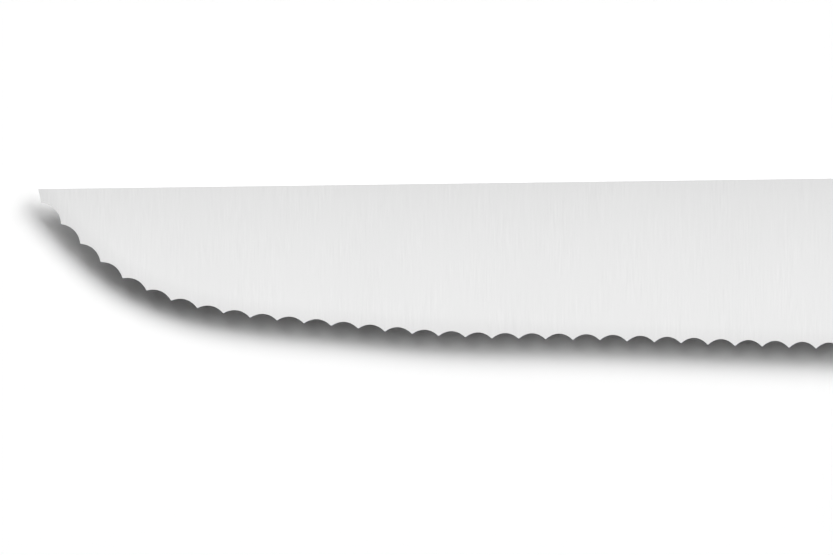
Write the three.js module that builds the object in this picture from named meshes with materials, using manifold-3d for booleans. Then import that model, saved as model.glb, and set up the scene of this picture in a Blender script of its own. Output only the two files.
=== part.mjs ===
// Fishmonger's knife with a scalloped edge: a full-tang blade between two riveted handle scales.
// It lies on its right side, in millimetres, with +Z up. +X runs from the point to the butt, and +Y
// from the edge to the spine. Until the last lines, x = 0 is the back of the heel, y = 0 the spine at
// the handle and z = 0 the middle of the blade's thickness.

import * as THREE from "three";
import { mergeVertices, toCreasedNormals } from "three/addons/utils/BufferGeometryUtils.js";
import Module from "manifold-3d";

const wasm = await Module();
wasm.setup();

// Blade outline
const BLADE_LENGTH = 303.4; // heel to where the line of the teeth would meet the spine
const HEEL_HEIGHT = 58.9; // spine to edge at the heel
const SPINE_DROP = 4.1; // fall of the straight spine from the handle to the point
const POINT_ANGLE = THREE.MathUtils.degToRad(49.9); // of the edge at the point, against the knife's length
const POINT_CUT = 2.5; // how far the plain straight end before the first tooth shortens the spine
const POINT_REACH = 67; // how far the point's direction pulls the edge curve
const BELLY_REACH = 49; // where, behind the point, the edge's straight run starts to pull the belly up
const HEEL_ANGLE = THREE.MathUtils.degToRad(2.2); // of the edge at the heel
const HEEL_RADIUS = 1.5; // rounding of the heel's lower corner
const CHOIL_RADIUS = 7; // inside corner between the heel's back and the neck
const NECK_LAND = 1.5; // bare steel between the choil and the handle

// Blade section
const TANG_THICKNESS = 2.5; // steel stock, left full under the scales and at the spine by the heel
const HEEL_EDGE_THICKNESS = 0.9; // left by the flat grind at the heel, before the scallops are ground
const POINT_THICKNESS = 1.4; // left by the flat grind at the point
const RUNOUT_RADIUS = 40; // wheel that ends each flat grind on the neck
const GRIND_CLEARANCE = 5; // how far the grinding cuts pass the steel on every side

// Scallops, hollow ground from the right side only
const SCALLOP_PITCH = 9; // tooth to tooth along the edge
const SCALLOP_DEPTH = 1.95; // tooth to hollow on the flat left side
const FIRST_TOOTH = 6.6; // from the spine, along the line of the teeth
const SCALLOP_BEVEL = THREE.MathUtils.degToRad(15); // of the ground hollow against the blade's face
const TOOTH_ALLOWANCE = 0.4; // steel outside the line of the teeth, all taken off by the wheels
const HEEL_LAND = 5; // shortest plain edge at the heel
const WHEEL_WIDTH = 40; // along the wheel's own axis
const WHEEL_SIDES = 120;

// Handle outline
const HANDLE_LENGTH = 130;
const FRONT_HEIGHT = 25.5; // handle and neck at the front
const BACK_RISE = 1.2; // crown of the handle's back above the spine
const PALM_AT = 56; // from the handle's front to its fullest place
const PALM_HEIGHT = 28.5; // below the spine's level
const WAIST_AT = 98; // from the handle's front to its slimmest place
const WAIST_HEIGHT = 26; // below the spine's level
const BUTT_HEIGHT = 33; // lowest place of the hooked butt below the spine's level
const BUTT_FALL = 4; // fall of the back at the butt
const BUTT_RADIUS = 11; // upper corner of the butt
const BEAK_RADIUS = 8; // lower corner of the butt
const OUTLINE_STEPS = 11; // straight steps in each curve, odd so that none ends where a curve turns over
const EDGE_STEPS = 60; // straight steps in the blank's edge curve

// Scales
const SCALE_THICKNESS = 7.75; // from the tang to the flat outer face
const SCALE_ROUND = 5; // rounding of the outer edge, across the handle
const SCALE_ROUND_DEPTH = 5.5; // rounding of the outer edge, in the thickness
const SCALE_ROUND_STEPS = 6;

// Rivets: a socket with a tube from the left, and a pin pressed into it from the right
const RIVET_FRONT_INSET = 22; // handle's front to the first rivet
const RIVET_REAR_INSET = 24; // butt to the last rivet
const RIVET_FALL = 2; // of the rivets' line, from the first to the last
const RIVET_HEAD_DIAMETER = 8;
const RIVET_HEAD_THICKNESS = 2.5;
const RIVET_TUBE_DIAMETER = 5;
const RIVET_PIN_DIAMETER = 3;
const RIVET_PIN_SHORTFALL = 0.5; // room past each shank's end
const RIVET_CLEARANCE = 0.1; // round a head or a tube in its hole
const PIN_CLEARANCE = 0.05; // round a pin in its tube
const RIVET_SIDES = 28;

const LEFT = 1; // the side that faces up
const RIGHT = -1; // the side that faces down
const WELD = 1e-5; // vertices nearer than this are one vertex
const CREASE = THREE.MathUtils.degToRad(25); // faces that meet at more than this look sharp

const handleFront = CHOIL_RADIUS + NECK_LAND;
const handleButt = handleFront + HANDLE_LENGTH;
const tangFace = TANG_THICKNESS / 2;
const scaleFace = tangFace + SCALE_THICKNESS;

// The flat grind is one plane on each side: half the thickness falls evenly along and across the blade.
const fallAcross = (TANG_THICKNESS - HEEL_EDGE_THICKNESS) / 2 / HEEL_HEIGHT;
const spineSlope = SPINE_DROP / (handleFront + BLADE_LENGTH);
const fallAlong = ((TANG_THICKNESS - POINT_THICKNESS) / 2 - SPINE_DROP * fallAcross) / BLADE_LENGTH;
const groundFace = (x, y) => tangFace + fallAlong * x + fallAcross * y;

// A closed geometry as a solid that can be cut and joined.
function solidOf(geometry) {
  const bare = geometry.clone();
  bare.deleteAttribute("normal");
  bare.deleteAttribute("uv");
  const welded = mergeVertices(bare, WELD);
  const mesh = new wasm.Mesh({
    numProp: 3,
    vertProperties: welded.attributes.position.array,
    triVerts: new Uint32Array(welded.index.array),
  });
  return new wasm.Manifold(mesh);
}

// A solid as a geometry with sharp creases.
function geometryOf(solid) {
  const { vertProperties, triVerts } = solid.getMesh();
  const geometry = new THREE.BufferGeometry();
  geometry.setAttribute("position", new THREE.BufferAttribute(vertProperties, 3));
  geometry.setIndex(new THREE.BufferAttribute(triVerts, 1));
  return toCreasedNormals(geometry, CREASE);
}

// A round bar along Z at a place in the handle, between two heights.
function bar(place, radius, from, to) {
  const geometry = new THREE.CylinderGeometry(radius, radius, Math.abs(to - from), RIVET_SIDES);
  return geometry.rotateX(Math.PI / 2).translate(place.x, place.y, (from + to) / 2);
}

// The line of the tooth points from point to heel, or of the blank, which stands an allowance outside them.
function edgeCurve(allowance) {
  const length = BLADE_LENGTH + allowance;
  const height = HEEL_HEIGHT + allowance;
  const point = new THREE.Vector2(-length, -SPINE_DROP);
  const heel = new THREE.Vector2(-HEEL_RADIUS, -height);
  const pointPull = new THREE.Vector2(Math.cos(POINT_ANGLE), -Math.sin(POINT_ANGLE));
  pointPull.multiplyScalar(POINT_REACH).add(point);
  const straightRun = length - BELLY_REACH - HEEL_RADIUS;
  const heelPull = new THREE.Vector2(-straightRun, straightRun * Math.tan(HEEL_ANGLE)).add(heel);
  return new THREE.CubicBezierCurve(point, pointPull, heelPull, heel);
}

// Draws on to a place with a curve that starts and ends along the handle.
function easeTo(path, x, y) {
  const { x: fromX, y: fromY } = path.currentPoint;
  const middle = (fromX + x) / 2;
  path.bezierCurveTo(middle, fromY, middle, y, x, y);
}

// Draws the handle's outline from the top of its front, round the butt, to the bottom of its front.
function traceHandle(path) {
  const buttTop = handleButt - BUTT_RADIUS;
  const buttBottom = handleButt - BEAK_RADIUS;
  easeTo(path, handleFront + PALM_AT, BACK_RISE);
  easeTo(path, buttTop, -BUTT_FALL);
  path.absarc(buttTop, -BUTT_FALL - BUTT_RADIUS, BUTT_RADIUS, Math.PI / 2, 0, true);
  path.lineTo(handleButt, -BUTT_HEIGHT + BEAK_RADIUS);
  path.absarc(buttBottom, -BUTT_HEIGHT + BEAK_RADIUS, BEAK_RADIUS, 0, -Math.PI / 2, true);
  easeTo(path, handleFront + WAIST_AT, -WAIST_HEIGHT);
  easeTo(path, handleFront + PALM_AT, -PALM_HEIGHT);
  easeTo(path, handleFront, -FRONT_HEIGHT);
}

// The stamped blank: blade and tang in one outline.
function blankShape() {
  const edge = edgeCurve(TOOTH_ALLOWANCE);
  const shape = new THREE.Shape();
  shape.moveTo(edge.v0.x, spineSlope * (edge.v0.x - handleFront));
  shape.lineTo(handleFront, 0);
  traceHandle(shape);
  shape.lineTo(CHOIL_RADIUS, -FRONT_HEIGHT);
  shape.absarc(CHOIL_RADIUS, -FRONT_HEIGHT - CHOIL_RADIUS, CHOIL_RADIUS, Math.PI / 2, Math.PI, false);
  shape.lineTo(0, edge.v3.y + HEEL_RADIUS);
  shape.absarc(-HEEL_RADIUS, edge.v3.y + HEEL_RADIUS, HEEL_RADIUS, 0, -Math.PI / 2, true);
  for (let step = EDGE_STEPS - 1; step > 0; step -= 1) {
    const place = edge.getPoint(step / EDGE_STEPS);
    shape.lineTo(place.x, place.y);
  }
  shape.closePath();
  return shape;
}

// What the straight end takes off the blank: the steel outside a line from the spine to the first tooth.
function pointCut(edge) {
  const end = POINT_CUT - BLADE_LENGTH;
  const tip = new THREE.Vector2(end, spineSlope * (end - handleFront));
  const line = edge.getPointAt(FIRST_TOOTH / edge.getLength()).sub(tip);
  const size = 2 * FIRST_TOOTH;
  const cut = new THREE.BoxGeometry(2 * size, size, 2 * TANG_THICKNESS);
  return cut.translate(0, -size / 2, 0).rotateZ(line.angle()).translate(tip.x, tip.y, 0);
}

// What the flat grind takes off one side: everything outside its plane, which runs out on the neck in the
// curve of the wheel. The profile lies along the blade and is swept across it on the grind's slope.
function flatGrind(side) {
  const neckDepth = fallAcross * FRONT_HEIGHT;
  const runout = handleFront - NECK_LAND - Math.sqrt(2 * RUNOUT_RADIUS * neckDepth);
  const rise = Math.acos(1 - GRIND_CLEARANCE / RUNOUT_RADIUS);
  const wheelAxis = groundFace(runout, 0) + RUNOUT_RADIUS;
  const lowest = -Math.PI / 2;
  const far = -BLADE_LENGTH - GRIND_CLEARANCE;
  const profile = new THREE.Shape();
  profile.moveTo(far, groundFace(far, 0));
  profile.lineTo(runout, groundFace(runout, 0));
  profile.absarc(runout, wheelAxis, RUNOUT_RADIUS, lowest, lowest + rise, false);
  profile.lineTo(far, tangFace + GRIND_CLEARANCE);
  profile.closePath();
  const sweep = HEEL_HEIGHT + 2 * GRIND_CLEARANCE;
  const geometry = new THREE.ExtrudeGeometry(profile, {
    depth: sweep,
    bevelEnabled: false,
    curveSegments: OUTLINE_STEPS,
  });
  geometry.translate(0, 0, -sweep / 2).rotateX(side * Math.PI / 2).translate(0, -HEEL_HEIGHT / 2, 0);
  const slope = new THREE.Matrix4().makeShear(0, 0, 0, side * fallAcross, 0, 0);
  return geometry.applyMatrix4(slope);
}

// One scallop's wheel: a cylinder whose side meets the left face at the scallop's hollow and sinks into
// the blade's right side at the bevel's angle.
function scallopWheel(edge, distance) {
  const share = distance / edge.getLength();
  const place = edge.getPointAt(share);
  const direction = edge.getTangentAt(share);
  const along = new THREE.Vector3(direction.x, direction.y, 0);
  const inward = new THREE.Vector3(-direction.y, direction.x, 0);
  const up = new THREE.Vector3(0, 0, 1);
  const hollow = new THREE.Vector3(place.x, place.y, 0).addScaledVector(inward, SCALLOP_DEPTH);
  hollow.z = groundFace(hollow.x, hollow.y);
  const axis = inward.clone().multiplyScalar(Math.cos(SCALLOP_BEVEL));
  axis.addScaledVector(up, -Math.sin(SCALLOP_BEVEL));
  const towardsBlade = new THREE.Vector3().crossVectors(along, axis);
  // The arc of one scallop, seen along the wheel's axis, is foreshortened by the bevel.
  const sag = SCALLOP_DEPTH * Math.sin(SCALLOP_BEVEL);
  const radius = ((SCALLOP_PITCH / 2) ** 2 + sag ** 2) / (2 * sag);
  const pose = new THREE.Matrix4().makeBasis(along, axis, towardsBlade);
  pose.setPosition(hollow.addScaledVector(towardsBlade, -radius));
  return new THREE.CylinderGeometry(radius, radius, WHEEL_WIDTH, WHEEL_SIDES).applyMatrix4(pose);
}

// Where the rivets go through the handle, from front to rear.
function rivetPlaces() {
  const front = handleFront + RIVET_FRONT_INSET;
  const rear = handleButt - RIVET_REAR_INSET;
  const level = -FRONT_HEIGHT / 2;
  return {
    front: new THREE.Vector3(front, level, 0),
    middle: new THREE.Vector3((front + rear) / 2, level - RIVET_FALL / 2, 0),
    rear: new THREE.Vector3(rear, level - RIVET_FALL, 0),
  };
}

// Stamps and grinds the blade: blank, rivet holes, a flat grind on each side, then the straight end and
// the scallops between the teeth.
function bladeSolid() {
  const plate = new THREE.ExtrudeGeometry(blankShape(), {
    depth: TANG_THICKNESS,
    bevelEnabled: false,
    curveSegments: OUTLINE_STEPS,
  });
  let blade = solidOf(plate.translate(0, 0, -tangFace));
  const holeRadius = RIVET_TUBE_DIAMETER / 2 + RIVET_CLEARANCE;
  for (const place of Object.values(rivetPlaces())) {
    blade = blade.subtract(solidOf(bar(place, holeRadius, -TANG_THICKNESS, TANG_THICKNESS)));
  }
  for (const side of [LEFT, RIGHT]) {
    blade = blade.subtract(solidOf(flatGrind(side)));
  }
  const edge = edgeCurve(0);
  blade = blade.subtract(solidOf(pointCut(edge)));
  const lastHollow = edge.getLength() - HEEL_LAND - SCALLOP_PITCH / 2;
  for (let hollow = FIRST_TOOTH + SCALLOP_PITCH / 2; hollow <= lastHollow; hollow += SCALLOP_PITCH) {
    blade = blade.subtract(solidOf(scallopWheel(edge, hollow)));
  }
  return blade;
}

// One scale: the rounded handle on one side of the tang, with a stepped hole for each rivet.
function scaleSolid(side) {
  const outline = new THREE.Shape();
  outline.moveTo(handleFront, 0);
  traceHandle(outline);
  outline.closePath();
  const handle = new THREE.ExtrudeGeometry(outline, {
    depth: 2 * (scaleFace - SCALE_ROUND_DEPTH),
    curveSegments: OUTLINE_STEPS,
    bevelThickness: SCALE_ROUND_DEPTH,
    bevelSize: SCALE_ROUND,
    bevelOffset: -SCALE_ROUND,
    bevelSegments: SCALE_ROUND_STEPS,
  });
  handle.translate(0, 0, SCALE_ROUND_DEPTH - scaleFace);
  const half = new THREE.BoxGeometry(2 * HANDLE_LENGTH, 4 * BUTT_HEIGHT, 2 * SCALE_THICKNESS);
  half.translate((handleFront + handleButt) / 2, 0, side * scaleFace);
  let scale = solidOf(handle).intersect(solidOf(half));
  const outside = side * 2 * scaleFace;
  const seat = side * (scaleFace - RIVET_HEAD_THICKNESS);
  for (const place of Object.values(rivetPlaces())) {
    const shankHole = bar(place, RIVET_TUBE_DIAMETER / 2 + RIVET_CLEARANCE, 0, outside);
    const headHole = bar(place, RIVET_HEAD_DIAMETER / 2 + RIVET_CLEARANCE, seat, outside);
    scale = scale.subtract(solidOf(shankHole)).subtract(solidOf(headHole));
  }
  return scale;
}

// A turned piece about Z from (radius, height) pairs that start and end on the axis.
function turned(pairs) {
  const profile = pairs.map(([radius, height]) => new THREE.Vector2(radius, height));
  return new THREE.LatheGeometry(profile, RIVET_SIDES).rotateX(Math.PI / 2);
}

// A rivet's left half: a head flush with the left scale and a tube that reaches to the right head's seat.
function rivetSocket() {
  const headRadius = RIVET_HEAD_DIAMETER / 2;
  const tubeRadius = RIVET_TUBE_DIAMETER / 2;
  const boreRadius = RIVET_PIN_DIAMETER / 2 + PIN_CLEARANCE;
  const seat = scaleFace - RIVET_HEAD_THICKNESS;
  const tubeEnd = -seat + RIVET_PIN_SHORTFALL;
  return turned([
    [0, seat],
    [boreRadius, seat],
    [boreRadius, tubeEnd],
    [tubeRadius, tubeEnd],
    [tubeRadius, seat],
    [headRadius, seat],
    [headRadius, scaleFace],
    [0, scaleFace],
  ]);
}

// A rivet's right half: a head flush with the right scale and a pin that fills the socket's tube.
function rivetPin() {
  const headRadius = RIVET_HEAD_DIAMETER / 2;
  const pinRadius = RIVET_PIN_DIAMETER / 2;
  const seat = RIVET_HEAD_THICKNESS - scaleFace;
  const pinEnd = -seat - RIVET_PIN_SHORTFALL;
  return turned([
    [0, -scaleFace],
    [headRadius, -scaleFace],
    [headRadius, seat],
    [pinRadius, seat],
    [pinRadius, pinEnd],
    [0, pinEnd],
  ]);
}

const bladeSteel = () => new THREE.MeshStandardMaterial({ color: 0xe4e5e6, roughness: 0.36, metalness: 1 });
const handleResin = () => new THREE.MeshStandardMaterial({ color: 0x17181a, roughness: 0.45, metalness: 0 });
const rivetSteel = () => new THREE.MeshStandardMaterial({ color: 0xcfd1d3, roughness: 0.3, metalness: 1 });

const knife = new THREE.Group();

function addPiece(name, geometry, material, position = new THREE.Vector3()) {
  const mesh = new THREE.Mesh(geometry, material);
  mesh.name = name;
  mesh.position.copy(position);
  knife.add(mesh);
}

addPiece("blade", geometryOf(bladeSolid()), bladeSteel());
addPiece("left_scale", geometryOf(scaleSolid(LEFT)), handleResin());
addPiece("right_scale", geometryOf(scaleSolid(RIGHT)), handleResin());
for (const [where, position] of Object.entries(rivetPlaces())) {
  addPiece(`${where}_rivet_socket`, rivetSocket(), rivetSteel(), position);
  addPiece(`${where}_rivet_pin`, rivetPin(), rivetSteel(), position);
}

// The origin is the middle of the knife's footprint, on the surface that its right scale lies on.
const extent = new THREE.Box3().setFromObject(knife);
const middle = extent.getCenter(new THREE.Vector3());
knife.position.set(-middle.x, -middle.y, -extent.min.z);

const part = new THREE.Group();
part.add(knife);

export default part;
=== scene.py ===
import math

import bpy
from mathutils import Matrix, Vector


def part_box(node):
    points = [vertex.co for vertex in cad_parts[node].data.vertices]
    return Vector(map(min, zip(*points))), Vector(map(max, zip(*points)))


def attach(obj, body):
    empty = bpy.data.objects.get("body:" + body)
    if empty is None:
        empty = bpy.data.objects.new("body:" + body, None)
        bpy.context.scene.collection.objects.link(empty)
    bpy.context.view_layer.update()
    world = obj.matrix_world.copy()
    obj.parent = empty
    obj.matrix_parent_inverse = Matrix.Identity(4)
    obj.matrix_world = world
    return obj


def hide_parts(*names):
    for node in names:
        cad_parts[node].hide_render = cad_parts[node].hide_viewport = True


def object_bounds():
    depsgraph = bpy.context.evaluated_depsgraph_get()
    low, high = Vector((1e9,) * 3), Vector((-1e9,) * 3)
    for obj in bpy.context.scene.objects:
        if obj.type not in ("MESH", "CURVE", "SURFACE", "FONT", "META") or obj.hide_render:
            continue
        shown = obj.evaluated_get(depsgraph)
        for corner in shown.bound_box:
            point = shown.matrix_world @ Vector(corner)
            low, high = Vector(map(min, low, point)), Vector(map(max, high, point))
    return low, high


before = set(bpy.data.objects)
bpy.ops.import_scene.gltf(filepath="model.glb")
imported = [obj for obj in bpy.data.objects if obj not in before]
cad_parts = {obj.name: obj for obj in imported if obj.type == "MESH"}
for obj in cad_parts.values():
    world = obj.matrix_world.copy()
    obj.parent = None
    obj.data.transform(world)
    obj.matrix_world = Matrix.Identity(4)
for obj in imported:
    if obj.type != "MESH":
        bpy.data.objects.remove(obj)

cad_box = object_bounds()

MM = 0.001

# Photograph
IMAGE_WIDTH = 833
IMAGE_HEIGHT = 555
PIXEL = 0.33346 * MM  # on the blade's left face
HEEL_COLUMN = 940.67  # pixel column of the heel's back, outside the right border
SPINE_ROW = 176.92  # pixel row of the spine's level at the handle
FOCAL_LENGTH = 100.0  # of the camera, in millimetres
SENSOR_WIDTH = 36.0  # of the camera, in millimetres

# Blade outline
BLADE_LENGTH = 303.4 * MM  # heel to where the line of the teeth would meet the spine
HEEL_HEIGHT = 58.9 * MM
SPINE_DROP = 4.1 * MM  # fall of the straight spine from the handle to the point
POINT_ANGLE = math.radians(49.9)
POINT_CUT = 2.5 * MM  # how far the plain straight end before the first tooth shortens the spine
END_CROSSING = 5.35 * MM  # along the line of the teeth, to where the straight end's line crosses it
POINT_REACH = 67 * MM
BELLY_REACH = 49 * MM
HEEL_ANGLE = math.radians(2.2)
HEEL_RADIUS = 1.5 * MM
CHOIL_RADIUS = 7 * MM
NECK_LAND = 1.5 * MM
TOOTH_ALLOWANCE = 0.4 * MM  # steel of the blank outside the line of the teeth
GRIND_ALLOWANCE = 0.8 * MM  # more of it where scallops are ground
GRIND_ALLOWANCE_END = -12 * MM  # where the further allowance is gone, before the plain heel
GRIND_ALLOWANCE_FADE = 24 * MM

# Blade section
TANG_THICKNESS = 2.5 * MM
HEEL_EDGE_THICKNESS = 0.9 * MM
POINT_THICKNESS = 1.4 * MM
RUNOUT_RADIUS = 40 * MM
SPINE_EASE = 0.15 * MM  # rounding of the spine, heel, choil and neck
TANG_EASE = 0.08 * MM  # rounding of the tang, between the scales
EDGE_EASE = 0.05 * MM  # rounding of the blank's edge
POINT_FADE = 14 * MM  # over which the spine's rounding narrows to the point

# Scallops
SCALLOP_PITCH = 9 * MM
SCALLOP_DEPTH = 1.95 * MM
FIRST_TOOTH = 6.6 * MM
SCALLOP_BEVEL = math.radians(15)
POINT_BEVEL = math.radians(18)  # the wheel is held steeper at the point than at the heel
LAST_BEVEL = math.radians(12)
HEEL_LAND = 5 * MM
WHEEL_WIDTH = 40 * MM
WHEEL_SIDES = 360
WANDER_ALONG = 0.12 * MM  # how far a single scallop strays along the edge
WANDER_DEPTH = 0.05 * MM  # and how far in or out
WANDER_SEED = 7
EARLY_SHIFT = 0.7 * MM  # how much sooner than the pitch says the first scallop is ground
EARLY_DEPTH = 0.18 * MM  # and how much deeper
EARLY_FADE = 1.0  # scallops over which both die away
# Slow sway of the hand along the edge, which dies away to both sides of its middle
SWAY_HEIGHT = 0.68 * MM
SWAY_LENGTH = 12.8  # teeth from crest to crest
SWAY_CREST = 17.1  # number of the tooth on a crest
SWAY_MIDDLE = 14.4
SWAY_SPREAD = 8.7

# Handle
HANDLE_LENGTH = 130 * MM
FRONT_HEIGHT = 25.5 * MM
BACK_RISE = 1.2 * MM
PALM_AT = 56 * MM
PALM_HEIGHT = 28.5 * MM
WAIST_AT = 98 * MM
WAIST_HEIGHT = 26 * MM
BUTT_HEIGHT = 33 * MM
BUTT_FALL = 4 * MM
BUTT_RADIUS = 11 * MM
BEAK_RADIUS = 8 * MM
SCALE_THICKNESS = 7.75 * MM
SCALE_ROUND = 5 * MM
SCALE_ROUND_DEPTH = 5.5 * MM
SEAM_CHAMFER = 0.12 * MM  # broken edge of a scale along the tang

# Rivets
RIVET_NAMES = ("front", "middle", "rear")
RIVET_FRONT_INSET = 22 * MM
RIVET_REAR_INSET = 24 * MM
RIVET_FALL = 2 * MM  # of the rivets' line, from the first to the last
RIVET_HEAD_RADIUS = 4 * MM
RIVET_HEAD_THICKNESS = 2.5 * MM
RIVET_TUBE_RADIUS = 2.5 * MM
RIVET_PIN_RADIUS = 1.5 * MM
RIVET_PIN_SHORTFALL = 0.5 * MM
RIVET_CLEARANCE = 0.1 * MM
PIN_CLEARANCE = 0.05 * MM
RIVET_CHAMFER = 0.12 * MM
RIVET_SIDES = 96

# Fineness of the meshes
HALVINGS = 50  # of the search for a value on a curve
LINE_STEPS = 2000  # along the line of the teeth, where its length is measured
END_STEPS = 100  # from the spine to the line of the teeth, where the straight end is followed
LINE_RESOLUTION = 400  # of the line that the scallops stand on
BLADE_COLUMNS = 130
HEEL_ROWS = 11
HEEL_CORNER_ROWS = 3
HEEL_CORNER_COLUMNS = 4
NECK_ROWS = 12
HANDLE_COLUMNS = 47
SCALE_ROWS = 10
CORNER_STEPS = 9  # in half of a corner
CORNER_ROOM = 1.2  # room of a scale's rounded corner in the mesh, as a multiple of its rounding
EASE_STEPS = 4
SCALE_ROUND_STEPS = 14
FLAT_CREASE = math.radians(40)  # edges that are sharper than this stay crisp
HOLLOW_CREASE = math.radians(7)  # and so do those that are sharper than this in the scallops
HOLLOW_BORDER = 0.5  # what marks a scallop's border, between 0 on the flats and 1 inside
EDGE_FACING = math.cos(math.radians(50))  # faces that look further aside than this are the blank's edges

# Grain of the finishes: lengths along X, Y and Z, and depths
FINE_GRIND = (0.6 * MM, 9 * MM, 0.6 * MM)
BROAD_GRIND = (1.7 * MM, 26 * MM, 1.7 * MM)
GRIND_PATCH = (11 * MM, 14 * MM, 11 * MM)
FLAT_CLOUD = (40 * MM, 60 * MM, 40 * MM)
GRIND_DEPTH = 0.008 * MM
EDGE_GRIND = (12 * MM, 0.14 * MM, 0.14 * MM)
EDGE_CLOUD = (18 * MM, 6 * MM, 6 * MM)
EDGE_GRIND_DEPTH = 0.01 * MM
WHEEL_MARK_WIDTH = 0.09 * MM
WHEEL_MARK_LENGTH = 5 * MM
HOLLOW_CLOUD = (6 * MM, 6 * MM, 6 * MM)
HANDLE_SANDING = (9 * MM, 0.16 * MM, 0.16 * MM)
HANDLE_MOTTLE = (2.2 * MM, 2.2 * MM, 2.2 * MM)
HANDLE_CLOUD = (26 * MM, 14 * MM, 14 * MM)
HANDLE_SANDING_DEPTH = 0.02 * MM
RIVET_SANDING = (6 * MM, 0.1 * MM, 0.1 * MM)
RIVET_CLOUD = (3 * MM, 3 * MM, 3 * MM)
RIVET_SANDING_DEPTH = 0.01 * MM
NOISE_MIDDLE = 0.5
NOISE_ROUGHNESS = 0.6  # how much each finer layer of a noise counts

# Tones of the finishes, each a place and a grey level or colour
FLAT_PAINTED_SHEEN_TONES = (  # from the spine down: a painted reflection, darker at the spine and lighter towards the edge
    (0.0, 0.746), (0.125, 0.776), (0.31, 0.806), (0.48, 0.826), (0.70, 0.841), (1.0, 0.840),
)
EDGE_TONES = ((0.25, (0.52, 0.525, 0.53)), (0.75, (0.66, 0.665, 0.67)))
HOLLOW_TONES = ((0.25, 0.72), (0.75, 0.82))
ACETAL_TONES = ((0.2, (0.0095, 0.0095, 0.0105)), (0.8, (0.0165, 0.0165, 0.0175)))
RIVET_TONES = ((0.25, (0.58, 0.585, 0.59)), (0.75, (0.7, 0.705, 0.71)))

# Gloss and wear of the finishes
FLAT_ROUGHNESS = 0.19
EDGE_BAND = 7.5 * MM  # width of the rougher band along the edge, whose colour is also painted darker
BAND_PAINTED_SHADE = 0.066  # how much darker the band's colour is painted: painted shade standing in for a rolled-off edge
BAND_ROUGHNESS = 0.04  # and how much rougher
EDGE_ROUGHNESS = 0.3
HOLLOW_ROUGHNESS = 0.2  # between the wheel's marks
MARK_ROUGHNESS = 0.14  # how much rougher the marks are
ACETAL_ROUGHNESS = 0.47
ACETAL_IOR = 1.48
WEAR_POLISH = 0.09  # how much smoother the handle's worn edges are
RIVET_ROUGHNESS = 0.24

# Floor and light
WHITE = (1, 1, 1, 1)
FLOOR_REACH = 30.0
FLOOR_GAP = 0.05 * MM  # between the floor and the handle that lies on it
ARC_LAMPS = 6
ARC_MIDDLE = Vector((-0.8, 0.42))  # sideways lean of the arc's middle, for one of height
ARC_REACH = Vector((1.68, 0.74))  # how much more its lamps lean, along the knife and across it
ARC_START = math.radians(-29)
ARC_END = math.radians(97)
LAMP_ANGLE = math.radians(27)
LAMP_LEVEL = 0.995  # of a white floor under the lamps alone
SHADE_LEVEL = 0.01  # of a white floor under the room alone
ROOM_TOP = math.cos(math.radians(35))  # height on the sky from which metal sees the white ceiling
ROOM_BOTTOM = math.sin(math.radians(4))  # and below which it sees the walls' foot
WALL_LEVEL = 0.45

handle_front = CHOIL_RADIUS + NECK_LAND
handle_butt = handle_front + HANDLE_LENGTH
tang_face = TANG_THICKNESS / 2
scale_face = tang_face + SCALE_THICKNESS
rivet_seat = scale_face - RIVET_HEAD_THICKNESS
shank_hole = RIVET_TUBE_RADIUS + RIVET_CLEARANCE
head_hole = RIVET_HEAD_RADIUS + RIVET_CLEARANCE
drill_length = 4 * scale_face  # twice as long as the handle is thick
fall_across = (TANG_THICKNESS - HEEL_EDGE_THICKNESS) / 2 / HEEL_HEIGHT
fall_along = ((TANG_THICKNESS - POINT_THICKNESS) / 2 - SPINE_DROP * fall_across) / BLADE_LENGTH
corner_step = CORNER_ROOM * SCALE_ROUND
grind_end = CHOIL_RADIUS - math.sqrt(2 * RUNOUT_RADIUS * fall_across * FRONT_HEIGHT)
back_line = (
    (handle_front, 0.0),
    (handle_front + PALM_AT, BACK_RISE),
    (handle_butt - BUTT_RADIUS, -BUTT_FALL),
)
belly_line = (
    (handle_front, -FRONT_HEIGHT),
    (handle_front + PALM_AT, -PALM_HEIGHT),
    (handle_front + WAIST_AT, -WAIST_HEIGHT),
    (handle_butt - BEAK_RADIUS, -BUTT_HEIGHT),
)

# The back of the heel, on the spine's level and in the middle of the steel, is where the sizes start.
scale_low, scale_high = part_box("left_scale")
blade_low, blade_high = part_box("blade")
heel = Vector((
    scale_low.x - handle_front,
    scale_high.y - BACK_RISE,
    (blade_low.z + blade_high.z) / 2,
))
rivet_span = HANDLE_LENGTH - RIVET_FRONT_INSET - RIVET_REAR_INSET
rivet_row = {
    "First Rivet": Vector((handle_front + RIVET_FRONT_INSET, -FRONT_HEIGHT / 2, 0)) + heel,
    "Rivet Step": Vector((rivet_span, -RIVET_FALL, 0)) / (len(RIVET_NAMES) - 1),
    "Rivets": len(RIVET_NAMES),
}


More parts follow.
